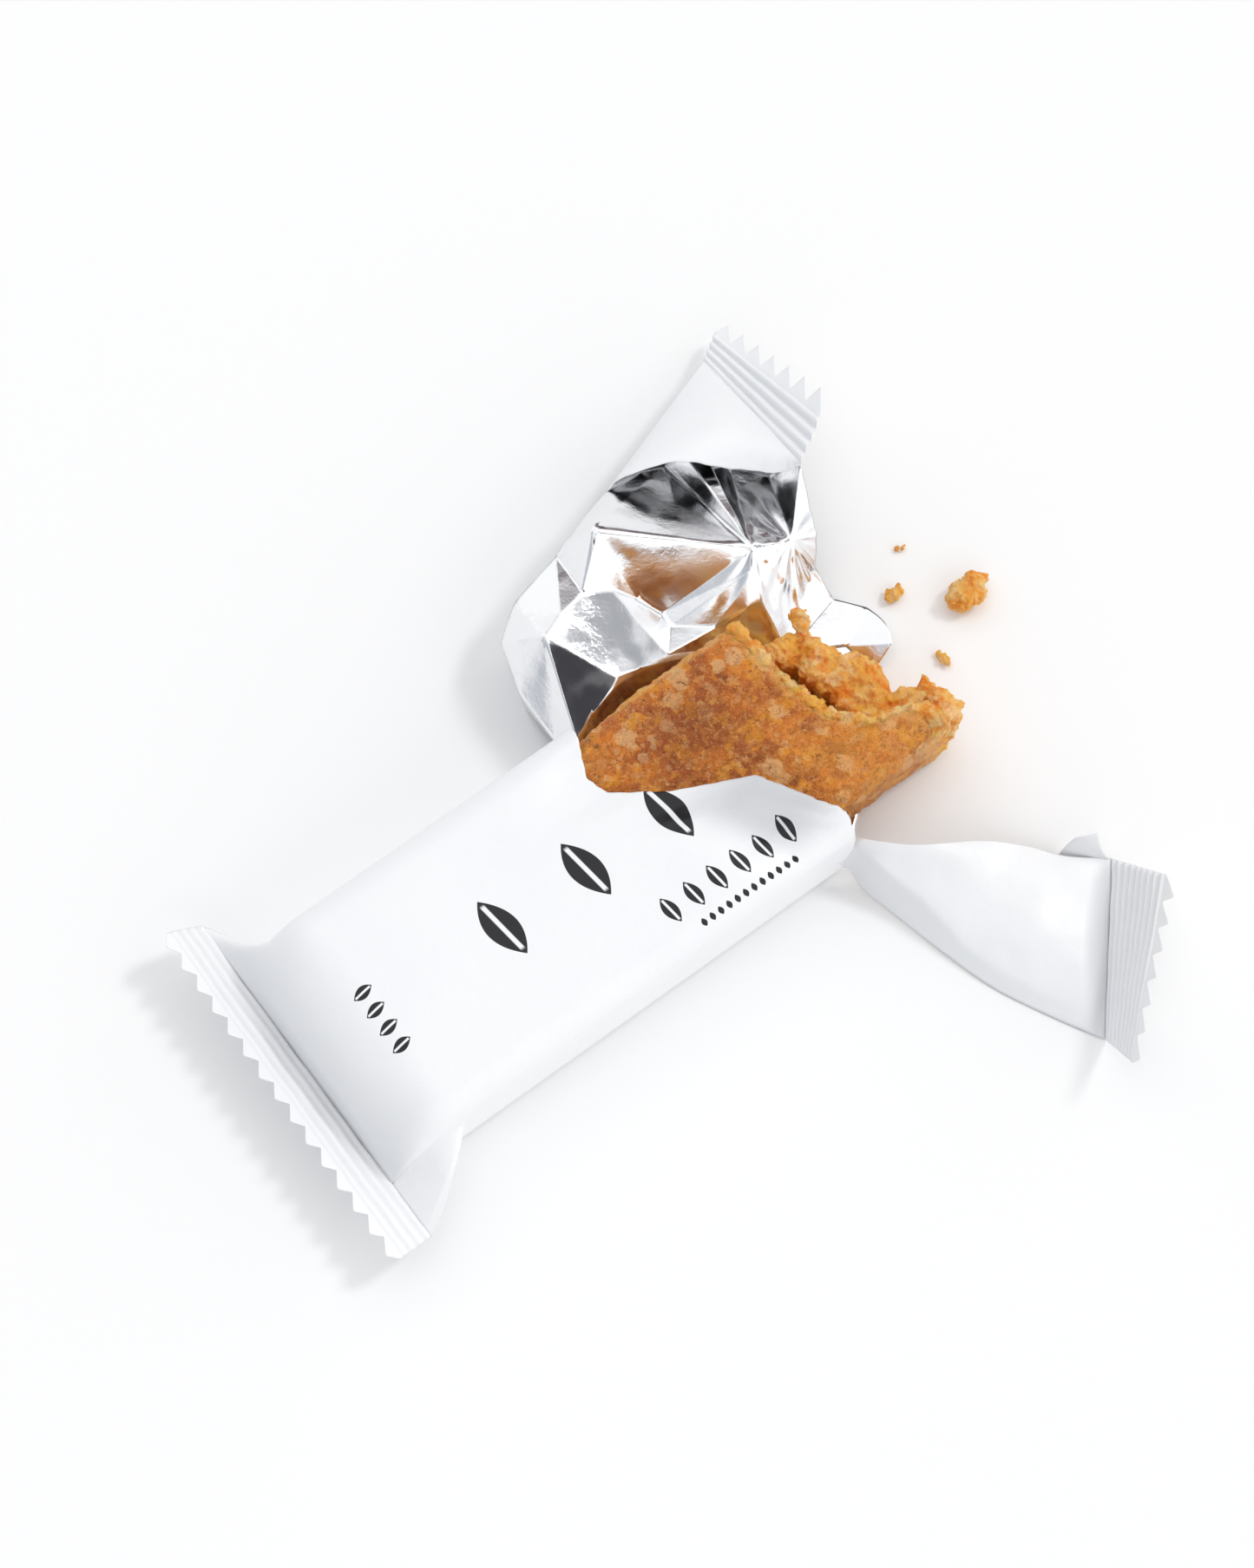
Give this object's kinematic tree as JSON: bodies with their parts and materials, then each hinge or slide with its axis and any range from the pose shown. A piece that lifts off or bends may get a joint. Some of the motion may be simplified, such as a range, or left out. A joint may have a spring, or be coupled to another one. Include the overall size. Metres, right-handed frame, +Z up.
{
  "type": "granola bar in torn wrapper",
  "caption": "Pressed oat bar with a broken end, lying half out of its torn flow-wrap film with a crimped end seal, a flap opened to one side and a strip to the other.",
  "frame": {"origin": "bottom centre of the box round the whole, on the surface that it lies on", "axes": "+X along the bar from its wrapped end to its broken end, +Y to the bar's left, where the opened flap lies, +Z up"},
  "size_m": [0.1352, 0.1372, 0.0203],
  "materials": {
    "baked_oats": null,
    "film": "white printed plastic film, satin outside, metallised silver inside"
  },
  "bodies": {
    "root": {"bar": "baked_oats", "wrapper": "film"}
  },
  "joints": []
}
